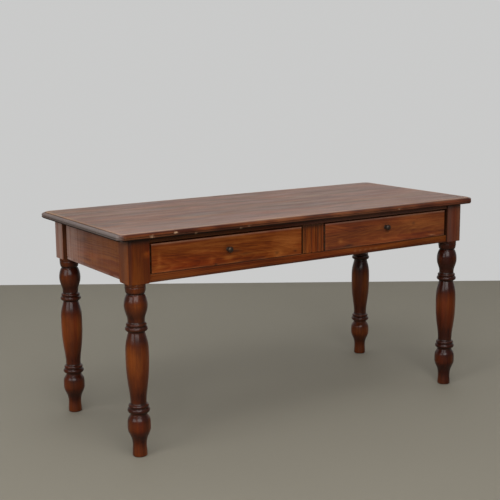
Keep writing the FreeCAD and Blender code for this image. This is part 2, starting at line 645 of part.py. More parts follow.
# ---- assembly ----------------------------------------------------------------------------------
def frame_pieces():
    rails = {"front_bottom_rail": bottom_rail(), "front_top_rail": top_rail()}
    aprons = {"end_apron_left": end_apron(-1), "end_apron_right": end_apron(1), "back_apron": back_apron()}
    stile = centre_stile()
    runner_z = (rail_top - RUNNER_THICKNESS, rail_top)
    kicker_z = (opening_top, top_under)
    runners = {"runner_left": side_bearer(-1, *runner_z), "runner_centre": centre_bearer(*runner_z),
               "runner_right": side_bearer(1, *runner_z)}
    kickers = {"kicker_left": side_bearer(-1, *kicker_z), "kicker_centre": centre_bearer(*kicker_z),
               "kicker_right": side_bearer(1, *kicker_z)}
    guides = {"guide_left": side_guide(-1), "guide_centre": centre_guide(), "guide_right": side_guide(1)}
    screws = top_screws()
    legs = {}
    blank = leg_blank()
    tenoned = list(rails.values()) + list(aprons.values())
    places = {"back_right": (leg_x, leg_y, 0), "back_left": (-leg_x, leg_y, 90),
              "front_left": (-leg_x, -leg_y, 180), "front_right": (leg_x, -leg_y, 270)}
    for place, (x, y, turn) in places.items():
        leg = blank.copy()
        leg.rotate(V(0, 0, 0), V(0, 0, 1), turn)
        leg.translate(V(x, y, 0))
        legs[f"leg_{place}"] = cut_by(leg, tenoned)
    bearers = list(runners.values()) + list(kickers.values())
    rails = {name: cut_by(rail, bearers + [stile]) for name, rail in rails.items()}
    aprons["back_apron"] = cut_by(aprons["back_apron"], bearers)
    kickers = {name: cut_by(kicker, screws) for name, kicker in kickers.items()}
    boards = {f"top_board_{i + 1}": cut_by(board, screws) for i, board in enumerate(top_boards())}
    return {**boards, **legs, **aprons, **rails, "centre_stile": stile, **runners, **guides, **kickers,
            "glue_blocks": glue_blocks(), "drawer_stops": drawer_stops(), "top_screws": screws}


def export(name, shape):
    solids = shape if isinstance(shape, list) else shape.Solids
    for solid in solids:
        if not solid.isValid():
            raise ValueError(f"{name} is not a valid solid")
    result = solids[0] if len(solids) == 1 else Part.makeCompound(solids)
    result.exportStep(f"parts/{name}.step")


def main():
    os.makedirs("parts", exist_ok=True)
    pieces = frame_pieces()
    pieces.update(drawer("left", KNOB_OFFSET_LEFT, KNOB_RISE_LEFT))
    pieces.update(drawer("right", KNOB_OFFSET_RIGHT, KNOB_RISE_RIGHT))
    for name, shape in pieces.items():
        export(name, shape)
    print(len(pieces), "nodes")


main()
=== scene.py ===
import json
import math

import bmesh
import bpy
import numpy as np
from mathutils import Matrix, Vector, noise
from mathutils.bvhtree import BVHTree


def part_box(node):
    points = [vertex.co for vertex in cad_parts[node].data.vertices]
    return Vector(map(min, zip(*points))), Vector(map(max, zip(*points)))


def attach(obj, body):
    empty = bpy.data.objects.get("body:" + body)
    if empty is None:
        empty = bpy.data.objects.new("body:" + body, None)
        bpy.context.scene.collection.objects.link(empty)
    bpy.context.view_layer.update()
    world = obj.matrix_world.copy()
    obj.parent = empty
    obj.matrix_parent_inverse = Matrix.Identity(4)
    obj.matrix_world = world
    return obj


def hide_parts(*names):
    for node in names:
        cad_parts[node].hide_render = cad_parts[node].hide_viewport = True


# An old kitchen table: red-brown stained boards on four turned legs, with two drawers under the top.
# Everything is in metres, in the frame of the CAD model, and every piece is made from the CAD node
# that it stands for.

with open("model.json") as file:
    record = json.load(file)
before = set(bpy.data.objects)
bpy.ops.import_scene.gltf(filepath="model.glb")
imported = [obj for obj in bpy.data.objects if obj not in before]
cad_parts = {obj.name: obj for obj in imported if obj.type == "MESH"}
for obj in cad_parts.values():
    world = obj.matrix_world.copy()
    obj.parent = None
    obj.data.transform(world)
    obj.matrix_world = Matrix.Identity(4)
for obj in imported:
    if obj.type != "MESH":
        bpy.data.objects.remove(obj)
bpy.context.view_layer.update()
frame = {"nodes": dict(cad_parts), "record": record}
X, Y, Z = range(3)

# ---- camera ------------------------------------------------------------------------------------
CAMERA_PLACE = Vector((-2.1458, -3.2111, 1.3010))
CAMERA_YAW = math.radians(32.88)       # towards +X from +Y
CAMERA_PITCH = math.radians(-10.42)
CAMERA_ROLL = math.radians(-0.52)
CAMERA_LENS = 72.99                    # this and the sensor in millimetres
SENSOR_WIDTH = 36.0

# ---- surfaces ----------------------------------------------------------------------------------
WELD = 1e-6                            # points nearer than this count as one
FLAT_ANGLE = math.radians(0.6)         # faces that meet at less than this are merged
SHARP_ANGLE = math.radians(28)         # edges that turn by more than this are rounded
SHORT_EDGE = 0.004                     # edges under this length keep their corner
ARRIS = 0.0006                         # rounding of the wood's corners
TOP_ARRIS = 0.0005
DRAWER_ARRIS = 0.0004
THIN_ARRIS = 0.0003
END_MARGINS = (0.0015, 0.004)          # extra slices this far from each end of a piece
RELIEF_SOFTENING = 3                   # rounds of smoothing of the relief
TOP_RELIEF_SOFTENING = 2
NORMAL_WEIGHT = 60                     # how much large faces lead the shading
LONGEST_SHIFT = 20.0                   # boards come from places up to this far along their log
BODY_OF = {node: body for body, nodes in frame["record"]["behaviour"]["bodies"].items() for node in nodes}
SLOT_OF = {row["node"]: row["material_slot"] for row in frame["record"]["subparts"]}


# ---- meshes ------------------------------------------------------------------------------------
def cad_bmesh(node):
    """Editable copy of a CAD node's mesh, with its flat faces merged."""
    bm = bmesh.new()
    bm.from_mesh(frame["nodes"][node].data)
    bmesh.ops.remove_doubles(bm, verts=bm.verts, dist=WELD)
    bmesh.ops.dissolve_limit(bm, angle_limit=FLAT_ANGLE, verts=bm.verts, edges=bm.edges)
    return bm


def round_arrises(bm, width, wanted=lambda edge: True):
    """Round the wanted ones of a piece's convex edges a little."""
    sharp = [e for e in bm.edges if e.is_manifold and e.is_convex and e.calc_length() > SHORT_EDGE
             and e.calc_face_angle() > SHARP_ANGLE and wanted(e)]
    bmesh.ops.bevel(bm, geom=sharp, offset=width, offset_type="OFFSET", segments=2, profile=0.6,
                    affect="EDGES", clamp_overlap=True)


def slice_at(bm, axis, places):
    """Cut every face along planes square to an axis, so that the surface can carry detail."""
    normal = Vector([float(i == axis) for i in range(3)])
    for place in places:
        near = [f for f in bm.faces if min(v.co[axis] for v in f.verts) < place - WELD
                and max(v.co[axis] for v in f.verts) > place + WELD]
        if near:
            edges = list(dict.fromkeys(e for f in near for e in f.edges))
            verts = list(dict.fromkeys(v for f in near for v in f.verts))
            bmesh.ops.bisect_plane(bm, geom=verts + edges + near, dist=WELD, plane_co=normal * place,
                                   plane_no=normal)


def ladder(low, high, step):
    """Even places between two ends, with a few more close to each end."""
    count = max(int(round((high - low) / step)), 1)
    places = [low + (high - low) * i / count for i in range(1, count)]
    places += [low + m for m in END_MARGINS] + [high - m for m in END_MARGINS]
    return sorted(p for p in places if low < p < high)


def slice_box(bm, steps):
    """Slice a piece along all three axes, at each axis's own step; 0 leaves an axis out."""
    for axis, step in enumerate(steps):
        if step:
            values = [v.co[axis] for v in bm.verts]
            slice_at(bm, axis, ladder(min(values), max(values), step))


def relief(mesh, rounds):
    """Places and normals of the points, and how far each one stands out (above 0) or lies in a hollow."""
    points = np.empty(len(mesh.vertices) * 3)
    mesh.vertices.foreach_get("co", points)
    points = points.reshape(-1, 3)
    normals = np.empty(len(points) * 3)
    mesh.vertex_normals.foreach_get("vector", normals)
    normals = normals.reshape(-1, 3)
    pairs = np.empty(len(mesh.edges) * 2, np.int64)
    mesh.edges.foreach_get("vertices", pairs)
    a, b = pairs.reshape(-1, 2).T
    along = points[b] - points[a]
    along /= np.maximum(np.linalg.norm(along, axis=1), 1e-9)[:, None]
    degree = np.maximum(np.bincount(np.concatenate([a, b]), minlength=len(points)), 1)
    stands = np.zeros(len(points))
    np.add.at(stands, a, -(along * normals[a]).sum(1))
    np.add.at(stands, b, (along * normals[b]).sum(1))
    stands /= degree
    for _ in range(rounds):
        spread = np.zeros(len(points))
        np.add.at(spread, a, stands[b])
        np.add.at(spread, b, stands[a])
        stands = 0.5 * stands + 0.5 * spread / degree
    return points, normals, stands


def set_attribute(mesh, name, values, kind="FLOAT"):
    """Store a number, or a vector, for each point of a mesh."""
    layer = mesh.attributes.new(name, kind, "POINT")
    field = "value" if kind == "FLOAT" else "vector"
    layer.data.foreach_set(field, np.ascontiguousarray(values, np.float32).ravel())


def log_coordinates(points, axis, seed, pith, tilt):
    """Place of each point in the log that its board was sawn from: along the grain, then across it.

    pith is how far the log's middle lies from the board's, across the grain. tilt leans the grain: one
    number bounds a lean taken from the seed, a pair is the lean itself.
    """
    rng = np.random.default_rng(seed)
    order = (axis, (axis + 1) % 3, (axis + 2) % 3)
    centre = (points.min(0) + points.max(0)) / 2
    local = (points - centre)[:, order]
    lean = tilt if isinstance(tilt, tuple) else rng.uniform(-1, 1, 2) * tilt
    local[:, 1] += local[:, 0] * lean[0] + pith[0]
    local[:, 2] += local[:, 0] * lean[1] + pith[1]
    local[:, 0] += rng.uniform(-LONGEST_SHIFT, LONGEST_SHIFT)
    return local


def finish_piece(bm, node, axis, seed, pith=(0.02, 0.09), tilt=0.02, rounds=RELIEF_SOFTENING, marks=None):
    """Turn a bmesh into the piece that stands for a CAD node, with the surface data its wood needs.

    axis is the one that the grain follows. marks gives the marks of age, and the painted light and shade,
    from the points and normals.
    """
    bmesh.ops.dissolve_degenerate(bm, edges=bm.edges, dist=WELD)
    bm.normal_update()
    mesh = bpy.data.meshes.new("w_" + node)
    bm.to_mesh(mesh)
    bm.free()
    mesh.shade_smooth()
    piece = bpy.data.objects.new("w_" + node, mesh)
    bpy.context.scene.collection.objects.link(piece)
    weighted = piece.modifiers.new("even", "WEIGHTED_NORMAL")
    weighted.weight = NORMAL_WEIGHT
    depsgraph = bpy.context.evaluated_depsgraph_get()
    final = bpy.data.meshes.new_from_object(piece.evaluated_get(depsgraph))
    piece.modifiers.clear()
    piece.data = final
    points, normals, stands = relief(final, rounds)
    set_attribute(final, "relief", stands)
    set_attribute(final, "grain", log_coordinates(points, axis, seed, pith, tilt), "FLOAT_VECTOR")
    found = marks(points, normals) if marks else {}
    for kind in MARK_KINDS:
        set_attribute(final, kind, np.zeros(len(points)) + found.get(kind, 0.0))
    final.materials.clear()
    final.materials.append(MATERIALS[SLOT_OF[node]])
    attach(piece, BODY_OF[node])
    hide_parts(node)
    return piece


# ---- marks of age, and painted light and shade -------------------------------------------------
# Each piece may carry marks, set point by point, in this order: a tint that makes the stain lighter (above
# 0) or darker, and on the leg blocks also paints light and shade; old dirt and painted shade; wood without
#    stain,
# with a painted highlight round the flat of the top; a pale dusty haze and a painted sheen; and dull takes
# the gloss off.
MARK_KINDS = ("tint", "grime_and_shade", "bare_and_highlight", "bloom_and_sheen", "dull")


def spots(points, axes, rows):
    """Sum of soft elliptical spots on a face.

    axes are the two axes of the face. Each row holds the two places of the middle, the half length,
    the half height, the strength and the slope.
    """
    total = np.zeros(len(points))
    for along, up, length, height, strength, slope in rows:
        a = points[:, axes[0]] - along
        b = points[:, axes[1]] - up - slope * a
        total += strength * np.exp(-(a / length) ** 2 - (b / height) ** 2)
    return total


def band(values, start, end):
    """0 before the start, 1 from the end on, and even in between; the end may lie below the start."""
    return np.clip((values - start) / (end - start), 0.0, 1.0)


def swell(values, middle, width):
    """1 at the middle, falling softly to 0 on both sides."""
    return np.exp(-((values - middle) / width) ** 2)


def uneven(points, cycles, low, high, seed=0.0):
    """Noise from 0 to 1 at every point, with its own number of cycles per metre along each axis.

    Raw noise at low or less gives 0, and at high or more 1.
    """
    shift = Vector((seed, 2.7 * seed, -1.3 * seed))
    values = [noise.noise(Vector(place) + shift) for place in points * np.array(cycles)]
    return band(np.array(values), low, high)


# ---- materials ---------------------------------------------------------------------------------
# Colours of old dirt and painted shade, of a pale haze and painted sheen, and a greyer one for the painted
# reflection on the moulding.
GRIME_AND_SHADE = (0.013, 0.007, 0.004)
BLOOM_AND_SHEEN = (0.44, 0.31, 0.27)
GREY_BLOOM_AND_SHEEN = (0.36, 0.33, 0.31)
REDDER = (1.0, 0.66, 0.62)             # the stain is multiplied by these in its patches
GREENER = (0.80, 1.25, 1.10)
# Scales of the noises, in cycles per metre: along the grain and in the two directions across it.
BEND_SCALE = (1.6, 8.0, 8.0)
FIBRE_SCALE = (9.0, 620.0, 620.0)
PORE_SCALE = (60.0, 1500.0, 1500.0)
STREAK_SCALE = (2.2, 110.0, 110.0)
BLOTCH_SCALE = (3.2, 17.0, 17.0)
HUE_SCALE = (2.0, 26.0, 26.0)
PATCH_SCALE = (14.0, 40.0, 40.0)
SMEAR_SCALE = (5.0, 24.0, 24.0)
WAVE_SCALE = (3.0, 60.0, 60.0)
DENT_SCALE = (60.0, 90.0, 90.0)
RUST_SCALE = (160.0, 160.0, 160.0)
PIT_SCALE = (520.0, 520.0, 520.0)
STAGE_SCALE = (0.7, 0.7, 0.7)
# Shares of the noises in the tone of the wood, which runs from 0 for dark to 1 for light.
STREAK_SHARE = 1.15
FIBRE_SHARE = 0.45
BLOTCH_SHARE = 1.05
TINT_SHARE = 0.5
RING_BEND = (0.0, 0.03, 0.03)          # how far the rings wander off their circles
RAMP_ENDS = (0.18, 0.88)               # tones at which the stain is darkest and lightest
WAVE_STRENGTH = 0.5
FIBRE_HEIGHT = 0.0001
DENT_HEIGHT = 0.00025
PIT_HEIGHT = 0.0004
COAT_ROUGHNESS = 0.16
STAGE_ROUGHNESS = 0.75


class Shader:
    """Node tree of one material, with short calls for what the materials share."""

    def __init__(self, name):
        self.material = bpy.data.materials.new(name)
        self.material.use_nodes = True
        self.tree = self.material.node_tree
        self.tree.nodes.clear()

    def add(self, kind, settings=None, **inputs):
        """New node; an underscore in the name of an input stands for a blank."""
        node = self.tree.nodes.new("ShaderNode" + kind)
        for key, value in (settings or {}).items():
            setattr(node, key, value)
        for key, value in inputs.items():
            self.feed(node.inputs[key.replace("_", " ")], value)
        return node

    def feed(self, socket, value):
        """Link a socket to another one, or set it to a plain value."""
        if isinstance(value, bpy.types.NodeSocket):
            self.tree.links.new(value, socket)
        else:
            socket.default_value = value

    def attribute(self, name, output="Fac"):
        return self.add("Attribute", {"attribute_name": name}).outputs[output]

    def math(self, operation, first, second=0.0, clamp=False):
        node = self.add("Math", {"operation": operation, "use_clamp": clamp})
        self.feed(node.inputs[0], first)
        self.feed(node.inputs[1], second)
        return node.outputs[0]

    def sum(self, *terms):
        """Sum of (value, weight) pairs."""
        total = 0.0
        for value, weight in terms:
            node = self.add("Math", {"operation": "MULTIPLY_ADD"})
            for socket, part in zip(node.inputs, (value, weight, total)):
                self.feed(socket, part)
            total = node.outputs[0]
        return total

    def vector(self, operation, *parts, output="Vector"):
        node = self.add("VectorMath", {"operation": operation})
        for socket, part in zip(node.inputs, parts):
            self.feed(socket, part)
        return node.outputs[output]

    def noise(self, vector, scale, detail=2.0, roughness=0.5, output="Fac"):
        """Noise with its own scale along each axis, in cycles per metre."""
        scaled = self.vector("MULTIPLY", vector, scale)
        return self.add("TexNoise", Vector=scaled, Scale=1.0, Detail=detail,
                        Roughness=roughness).outputs[output]

    def span(self, value, low, high, to_low=0.0, to_high=1.0):
        """Map a stretch of values to another, and hold it there."""
        node = self.add("MapRange", Value=value, From_Min=low, From_Max=high, To_Min=to_low, To_Max=to_high)
        return node.outputs["Result"]

    def mix(self, factor, first, second, blend="MIX"):
        """Blend of two colours; the colour sockets of the node are its inputs 6 and 7 and output 2."""
        node = self.add("Mix", {"data_type": "RGBA", "blend_type": blend, "clamp_factor": True})
        self.feed(node.inputs[0], factor)
        self.feed(node.inputs[6], colour(first))
        self.feed(node.inputs[7], colour(second))
        return node.outputs[2]

    def bump(self, height, distance, strength, below=None):
        """Normal of a small relief, on top of the relief below it."""
        node = self.add("Bump", Strength=strength, Distance=distance, Height=height)
        if below is not None:
            self.feed(node.inputs["Normal"], below)
        return node.outputs["Normal"]

    def close(self, surface):
        """Link the finished surface to the output, and return the material."""
        output = self.add("OutputMaterial")
        self.tree.links.new(surface, output.inputs["Surface"])
        return self.material


def colour(value):
    """Add the alpha to a colour; sockets and single numbers pass unchanged."""
    return (*value, 1.0) if isinstance(value, tuple) and len(value) == 3 else value


def ring_pattern(s, grain, width):
    """Growth rings round the middle of the log: each darkens slowly outwards and ends sharply."""
    bend = s.noise(grain, BEND_SCALE, 3.0, output="Color")
    bent = s.vector("MULTIPLY_ADD", bend, RING_BEND, grain)
    split = s.add("SeparateXYZ", Vector=bent)
    across = s.add("CombineXYZ", Y=split.outputs["Y"], Z=split.outputs["Z"]).outputs[0]
    radius = s.vector("LENGTH", across, output="Value")
    late = s.math("FRACT", s.math("DIVIDE", radius, width))
    return s.math("MULTIPLY", s.span(late, 0.0, 0.82), s.span(late, 1.0, 0.86))


def stain_colour(s, grain, tone, stain, olive):
    """Colour for each tone from the dark, middle and light stain, with redder and greener patches."""
    ramp = s.add("ValToRGB", Fac=tone)
    elements = ramp.color_ramp.elements
    for element, place, value in zip(elements, RAMP_ENDS, (stain[0], stain[2])):
        element.position = place
        element.color = colour(value)
    elements.new(0.5).color = colour(stain[1])
    hue = s.noise(grain, HUE_SCALE, 3.0, 0.6)
    tinged = s.mix(s.span(hue, 0.50, 0.68, 0.0, 0.75), ramp.outputs["Color"], REDDER, "MULTIPLY")
    return s.mix(s.span(hue, 0.48, 0.34, 0.0, olive), tinged, GREENER, "MULTIPLY")


def wood_relief(s, grain, fibres, pores, wave):
    """Normal of a planed and worn board: long waves, fibres with open pores, and small dents."""
    waves = s.bump(s.noise(grain, WAVE_SCALE), wave, WAVE_STRENGTH)
    fibre_height = s.math("SUBTRACT", s.math("MULTIPLY", fibres, 0.4), pores)
    fine = s.bump(fibre_height, FIBRE_HEIGHT, 0.6, waves)
    return s.bump(s.noise(grain, DENT_SCALE), DENT_HEIGHT, 0.4, fine)


def wood(name, dark, body, light, raw, roughness, coat, ring=0.0045, figure=0.25, lines=1.0, wear=1.0,
         dirt_and_shade=1.0, specular=0.4, wave=0.0006, olive=0.2, haze_and_sheen=BLOOM_AND_SHEEN):
    """Stained wood with rings, fibres, pores, an uneven stain, dirt and painted shade in the hollows, and
    worn corners.

    dark, body and light are the stain, and raw is the wood under it. ring is the width of a growth
    ring, figure the strength of the rings, lines that of streaks and fibres, olive that of the greener
    patches, and wave the height of the waves in the surface. The last argument is the colour of the bloom
    and the painted sheen.
    """
    s = Shader(name)
    grain = s.attribute("grain", "Vector")
    stands = s.attribute("relief")
    tint, grime_and_shade, bare_and_highlight, bloom_and_sheen, dull = [s.attribute(kind) for kind in MARK_KINDS]
    fibres = s.noise(grain, FIBRE_SCALE, 3.0, 0.65)
    pores = s.span(s.noise(grain, PORE_SCALE, 1.0), 0.6, 0.72)
    middle_tone = 0.5 * (1 + figure - (STREAK_SHARE + FIBRE_SHARE) * lines - BLOTCH_SHARE)
    tone = s.sum((ring_pattern(s, grain, ring), -figure),
                 (s.noise(grain, STREAK_SCALE, 4.0, 0.62), STREAK_SHARE * lines),
                 (fibres, FIBRE_SHARE * lines),
                 (s.noise(grain, BLOTCH_SCALE, 4.0, 0.6), BLOTCH_SHARE),
                 (tint, TINT_SHARE), (middle_tone, 1.0))
    stain = stain_colour(s, grain, tone, (dark, body, light), olive)
    stain = s.mix(s.math("MULTIPLY", pores, 0.5 * lines), stain, dark)
    patchy = s.noise(grain, PATCH_SCALE, 3.0, 0.6)
    # Darkening in the hollows, and where the pieces mark it, is old dirt and painted shade.
    patchy_dirt_and_shade = s.span(patchy, 0.3, 0.6, 0.5 * dirt_and_shade, dirt_and_shade)
    hollow = s.math("MULTIPLY", s.span(stands, -0.02, -0.16), patchy_dirt_and_shade, clamp=True)
    uneven_dirt_and_shade = s.math("MULTIPLY", grime_and_shade, s.span(patchy, 0.25, 0.55, 0.75, 1.0))
    dirty_and_shaded = s.mix(s.math("MAXIMUM", hollow, uneven_dirt_and_shade), stain, GRIME_AND_SHADE)
    patchy_wear = s.span(patchy, 0.42, 0.66, 0.12 * wear, 0.6 * wear)
    rubbed = s.math("MULTIPLY", s.span(stands, 0.04, 0.26), patchy_wear)
    worn = s.mix(rubbed, dirty_and_shaded, s.mix(0.35, light, raw))
    chipped = s.mix(bare_and_highlight, worn, s.mix(s.math("MULTIPLY", fibres, 0.6), raw, light))
    # The pale mark mixes in a haze: a dusty bloom and a painted sheen.
    hazy_and_sheened = s.mix(s.math("MULTIPLY", bloom_and_sheen, s.span(fibres, 0.3, 0.7, 0.75, 1.25)), chipped, haze_and_sheen)
    smear = s.noise(grain, SMEAR_SCALE, 4.0, 0.6)
    rough = s.sum((s.span(smear, 0.3, 0.7, roughness - 0.07, roughness + 0.09), 1.0),
                  (pores, 0.12), (bare_and_highlight, 0.3), (hollow, 0.25), (grime_and_shade, 0.25), (bloom_and_sheen, 0.3), (dull, 0.4))
    shader = s.add("BsdfPrincipled", Base_Color=hazy_and_sheened, Roughness=rough, Coat_Weight=coat,
                   Coat_Roughness=COAT_ROUGHNESS, Specular_IOR_Level=specular,
                   Normal=wood_relief(s, grain, fibres, pores, wave))
    return s.close(shader.outputs[0])


def metal(name, tint, rust, roughness, metallic):
    """Old metal, spotted with rust or tarnish."""
    s = Shader(name)
    place = s.add("TexCoord").outputs["Object"]
    rusty = s.span(s.noise(place, RUST_SCALE, 4.0, 0.65), 0.48, 0.62)
    pits = s.noise(place, PIT_SCALE, 3.0, 0.6)
    skin = s.mix(rusty, tint, rust)
    rough = s.span(pits, 0.3, 0.7, roughness - 0.08, roughness + 0.14)
    shader = s.add("BsdfPrincipled", Base_Color=skin, Roughness=rough, Metallic=metallic,
                   Normal=s.bump(pits, PIT_HEIGHT, 0.5))
    return s.close(shader.outputs[0])


def plain_stage(name, tint, variation):
    """Matt studio surface with a faint unevenness."""
    s = Shader(name)
    soft = s.noise(s.add("TexCoord").outputs["Object"], STAGE_SCALE, 3.0)
    dark = tuple(c * (1 - variation) for c in tint)
    shader = s.add("BsdfPrincipled", Base_Color=s.mix(soft, tint, dark), Roughness=STAGE_ROUGHNESS)
    return s.close(shader.outputs[0])


WOODS = {
    "top_wood": {
        "dark": (0.038, 0.008, 0.002), "body": (0.118, 0.030, 0.004), "light": (0.232, 0.075, 0.015),
        "raw": (0.55, 0.36, 0.22), "roughness": 0.40, "coat": 0.0, "lines": 1.05, "specular": 0.5,
        "wave": 0.0011, "olive": 1.0},
    "top_moulding": {
        "dark": (0.040, 0.007, 0.002), "body": (0.110, 0.026, 0.006), "light": (0.185, 0.058, 0.017),
        "raw": (0.55, 0.36, 0.22), "roughness": 0.55, "coat": 0.0, "specular": 0.15,
        "haze_and_sheen": GREY_BLOOM_AND_SHEEN},
    "frame_wood": {
        "dark": (0.070, 0.012, 0.002), "body": (0.155, 0.034, 0.005), "light": (0.250, 0.070, 0.011),
        "raw": (0.50, 0.27, 0.14), "roughness": 0.42, "coat": 0.04, "specular": 0.15},
    "leg_wood": {
        "dark": (0.026, 0.004, 0.001), "body": (0.088, 0.016, 0.002), "light": (0.210, 0.047, 0.004),
        "raw": (0.42, 0.20, 0.10), "roughness": 0.34, "coat": 0.36, "figure": 0.04, "lines": 0.35,
        "wear": 0.4, "dirt_and_shade": 1.5, "specular": 0.1},
    "drawer_front_wood": {
        "dark": (0.084, 0.013, 0.002), "body": (0.166, 0.034, 0.004), "light": (0.279, 0.079, 0.014),
        "raw": (0.55, 0.30, 0.15), "roughness": 0.40, "coat": 0.04, "ring": 0.0032, "figure": 0.15,
        "specular": 0.15},
    "bare_wood": {
        "dark": (0.21, 0.12, 0.065), "body": (0.36, 0.235, 0.135), "light": (0.50, 0.36, 0.23),
        "raw": (0.60, 0.46, 0.32), "roughness": 0.62, "coat": 0.0, "wear": 0.4},
}
METALS = {
    "dark_iron": {
        "tint": (0.050, 0.040, 0.033), "rust": (0.070, 0.036, 0.021), "roughness": 0.42, "metallic": 0.80},
    "steel_fixings": {
        "tint": (0.42, 0.40, 0.38), "rust": (0.16, 0.09, 0.05), "roughness": 0.42, "metallic": 0.9},
}
MATERIALS = {name: wood(name, **look) for name, look in WOODS.items()}
MATERIALS.update({name: metal(name, **look) for name, look in METALS.items()})


# ---- turned legs -------------------------------------------------------------------------------
LEG_NODES = ("leg_front_left", "leg_front_right", "leg_back_left", "leg_back_right")
LEG_SEED = 31
PROFILE_STEP = 0.0008
PROFILE_TOLERANCE = 0.00006
PROFILE_RAY = Vector((0.6, 0.8, 0.0))
RAY_INSET = 1e-5                       # the first and last ray keep this far inside the ends
LEG_SEGMENTS = 72
LONGEST_ROW = 0.006
TURNING_WOBBLE = 0.0002
WOBBLES_ROUND = 1.3                    # size of the noise's circle round a leg
WOBBLES_UP = 9.0                       # cycles of the noise per metre of height
WOBBLE_SHIFT = 7.3                     # how far apart the noise of two legs is
CUT_ABOVE = 1e-5                       # the block is cut off this far above the shoulder
BLOCK_STEP_UP = 0.010
BLOCK_STEP_ACROSS = 0.009
BLOCK_SKIN = 0.004                     # edges this near the block's faces are at its surface
# How the tone of a leg varies with height: middle of the band, half height and tone.
LEG_BANDS = ((0.335, 0.055, 0.36), (0.412, 0.028, -0.50), (0.205, 0.025, -0.40),     # the long vase
             (0.548, 0.016, -0.60), (0.512, 0.016, -0.32), (0.480, 0.018, -0.55),    # the upper bulb
             (0.138, 0.014, -0.45), (0.062, 0.024, -0.50),                           # the lower bulb
             (0.168, 0.014, -0.55), (0.450, 0.014, -0.50), (0.563, 0.006, -0.60),    # the rings
             (0.584, 0.012, -0.45))                                                  # the collar
# Tone of each leg as a whole and of its block, a painted light on the block's left face, and a painted
# sheen on the block's left and front faces.
LEG_TONES = {"leg_front_left": (0.04, 0.04, 0.50, 0.03, 0.0),
             "leg_front_right": (-0.20, -0.02, 0.0, 0.0, 0.08),
             "leg_back_left": (0.04, 0.55, 0.0, 0.50, 0.0), "leg_back_right": (0.0, 0.0, 0.0, 0.0, 0.0)}
# Darker and lighter places on the front of the front left block, as rows for spots().
BLOCK_SPOTS = ((-0.670, 0.694, 0.012, 0.008, 0.8, 0.0), (-0.672, 0.672, 0.012, 0.120, -0.50, 0.0),
               (-0.714, 0.672, 0.008, 0.120, 0.25, 0.0))


def leg_profile(node, centre, top):
    """Outline of the turned part as (radius, height), read from the CAD leg with rays from its axis."""
    cad_mesh = frame["nodes"][node].data
    tree = BVHTree.FromPolygons([v.co for v in cad_mesh.vertices], [p.vertices for p in cad_mesh.polygons])
    outline = []
    count = int(top / PROFILE_STEP)
    for i in range(count + 1):
        height = min(max(top * i / count, RAY_INSET), top - RAY_INSET)
        distance = tree.ray_cast(Vector((centre.x, centre.y, height)), PROFILE_RAY)[3]
        outline.append((distance, height))
    return thinned(outline)


def thinned(outline):
    """Drop the points of an outline that lie on the line between their neighbours."""
    kept = [outline[0]]
    start = 0
    for i in range(2, len(outline)):
        (r0, z0), (r1, z1) = outline[start], outline[i]
        off = max(abs(r0 + (r1 - r0) * (z - z0) / (z1 - z0) - r) for r, z in outline[start + 1:i])
        if off > PROFILE_TOLERANCE or z1 - z0 > LONGEST_ROW:
            start = i - 1
            kept.append(outline[start])
    kept.append(outline[-1])
    return kept


def lathe(bm, outline, centre, seed):
    """Turn an outline about a vertical axis, with the slight unevenness of hand turning."""
    rings = []
    for radius, height in outline:
        ring = []
        for i in range(LEG_SEGMENTS):
            angle = 2 * math.pi * i / LEG_SEGMENTS
            spot = Vector((math.cos(angle) * WOBBLES_ROUND, math.sin(angle) * WOBBLES_ROUND,
                           height * WOBBLES_UP + seed))
            r = radius - TURNING_WOBBLE + TURNING_WOBBLE * noise.noise(spot)
            place = (centre.x + r * math.cos(angle), centre.y + r * math.sin(angle), height)
            ring.append(bm.verts.new(place))
        rings.append(ring)
    for low, high in zip(rings, rings[1:]):
        for i in range(LEG_SEGMENTS):
            j = (i + 1) % LEG_SEGMENTS
            bm.faces.new((low[i], low[j], high[j], high[i]))
    bm.faces.new(reversed(rings[0]))
    bm.faces.new(rings[-1])


def leg(node, seed):
    """A leg: its square block straight from the CAD node, and below it the CAD outline turned anew."""
    low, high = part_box(node)
    centre = (low + high) / 2
    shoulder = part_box("end_apron_left")[0].z
    bm = cad_bmesh(node)
    whole = bm.verts[:] + bm.edges[:] + bm.faces[:]
    cut = bmesh.ops.bisect_plane(bm, geom=whole, dist=WELD, plane_co=(0, 0, shoulder + CUT_ABOVE),
                                 plane_no=(0, 0, 1), clear_inner=True)
    rim = [e for e in cut["geom_cut"] if isinstance(e, bmesh.types.BMEdge)]
    bmesh.ops.edgeloop_fill(bm, edges=rim)
    round_arrises(bm, ARRIS, lambda e: outside_block(e, low, high, shoulder))
    slice_at(bm, Z, ladder(shoulder, high.z, BLOCK_STEP_UP))
    for axis in (X, Y):
        slice_at(bm, axis, ladder(low[axis], high[axis], BLOCK_STEP_ACROSS))
    lathe(bm, leg_profile(node, centre, shoulder), centre, seed * WOBBLE_SHIFT)
    return finish_piece(bm, node, Z, seed, pith=(0.012, 0.055), tilt=0.012,
                        marks=lambda points, normals: leg_marks(node, points, normals))


